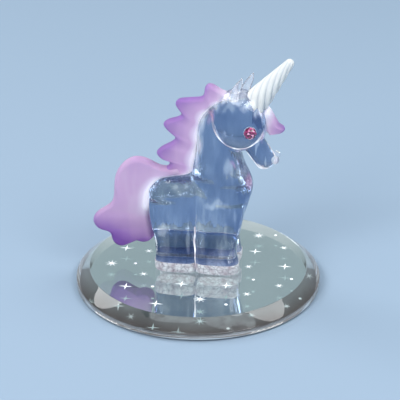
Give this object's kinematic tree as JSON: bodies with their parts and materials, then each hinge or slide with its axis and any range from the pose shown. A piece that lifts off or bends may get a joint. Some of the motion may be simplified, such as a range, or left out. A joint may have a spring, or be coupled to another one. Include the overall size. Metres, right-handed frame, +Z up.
{
  "type": "unicorn figurine",
  "caption": "Clear glass unicorn with frosted lilac mane and tail and a fluted horn, standing on a round bevelled mirror with printed stars.",
  "frame": {"origin": "centre of the underside of the felt pad", "axes": "+Z up, +X towards the unicorn's head, +Y towards its left side"},
  "size_m": [0.0762, 0.0762, 0.0744],
  "materials": {
    "felt": "matte felt",
    "backing_paint": "matte paint",
    "silver": "polished",
    "mirror_glass": "polished",
    "star_print": "satin ink",
    "cement": "clear cement",
    "clear_glass": "fire polished",
    "frosted_white_glass": "acid frosted",
    "frosted_lilac_glass": "acid frosted",
    "stone_foil": "bright foil",
    "pink_crystal": "faceted, polished"
  },
  "bodies": {
    "root": {"felt_pad": "felt", "backing_paint": "backing_paint", "silvering": "silver", "mirror_glass": "mirror_glass", "four_point_stars": "star_print", "six_point_stars": "star_print", "eight_point_stars": "star_print", "printed_dots": "star_print", "hoof_cement": "cement", "body": "clear_glass", "front_left_leg": "clear_glass", "front_right_leg": "clear_glass", "rear_left_leg": "clear_glass", "rear_right_leg": "clear_glass", "neck": "clear_glass", "head": "clear_glass", "muzzle": "clear_glass", "left_nostril": "clear_glass", "right_nostril": "clear_glass", "horn": "frosted_white_glass", "mane": "frosted_lilac_glass", "tail": "frosted_lilac_glass", "forelock": "frosted_lilac_glass", "left_ear": "clear_glass", "right_ear": "clear_glass", "left_eye_foil": "stone_foil", "right_eye_foil": "stone_foil", "left_eye_crystal": "pink_crystal", "right_eye_crystal": "pink_crystal", "left_eye_cement": "cement", "right_eye_cement": "cement"}
  },
  "joints": []
}
